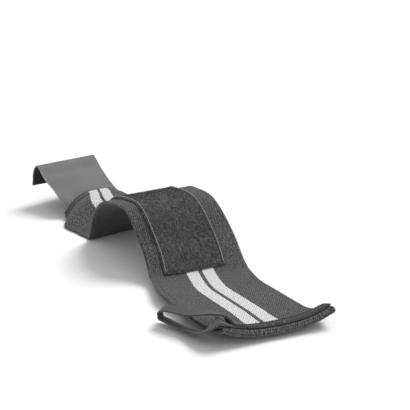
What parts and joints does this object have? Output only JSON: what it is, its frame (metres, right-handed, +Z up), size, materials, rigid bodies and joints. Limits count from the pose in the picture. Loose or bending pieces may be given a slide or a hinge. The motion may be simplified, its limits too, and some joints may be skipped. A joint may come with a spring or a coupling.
{
  "type": "wrist wrap",
  "caption": "Elastic wrist wrap lying opened out in waves, with a hook tab at one end, a pile panel, two pale stripes and a thumb loop at the hemmed end.",
  "frame": {"origin": "on the surface that the wrap lies on, below the middle of its outline", "axes": "+X along the wrap from the hook tab to the thumb loop, +Y to the band's far edge, +Z up"},
  "size_m": [0.3522, 0.1026, 0.0474],
  "materials": {
    "hook_strip": "smooth mid grey hook strip, slightly satin, with a paler thin edge",
    "elastic": "charcoal ribbed elastic webbing with two woven off-white stripes",
    "pile": "dark fuzzy pile with paler stitch lines round its edge",
    "tape": "narrow ribbed dark grey tape"
  },
  "bodies": {
    "root": {"hook_tab": "hook_strip", "elastic_band": "elastic", "pile_panel": "pile", "end_tape": "tape", "thumb_loop": "tape"}
  },
  "joints": []
}
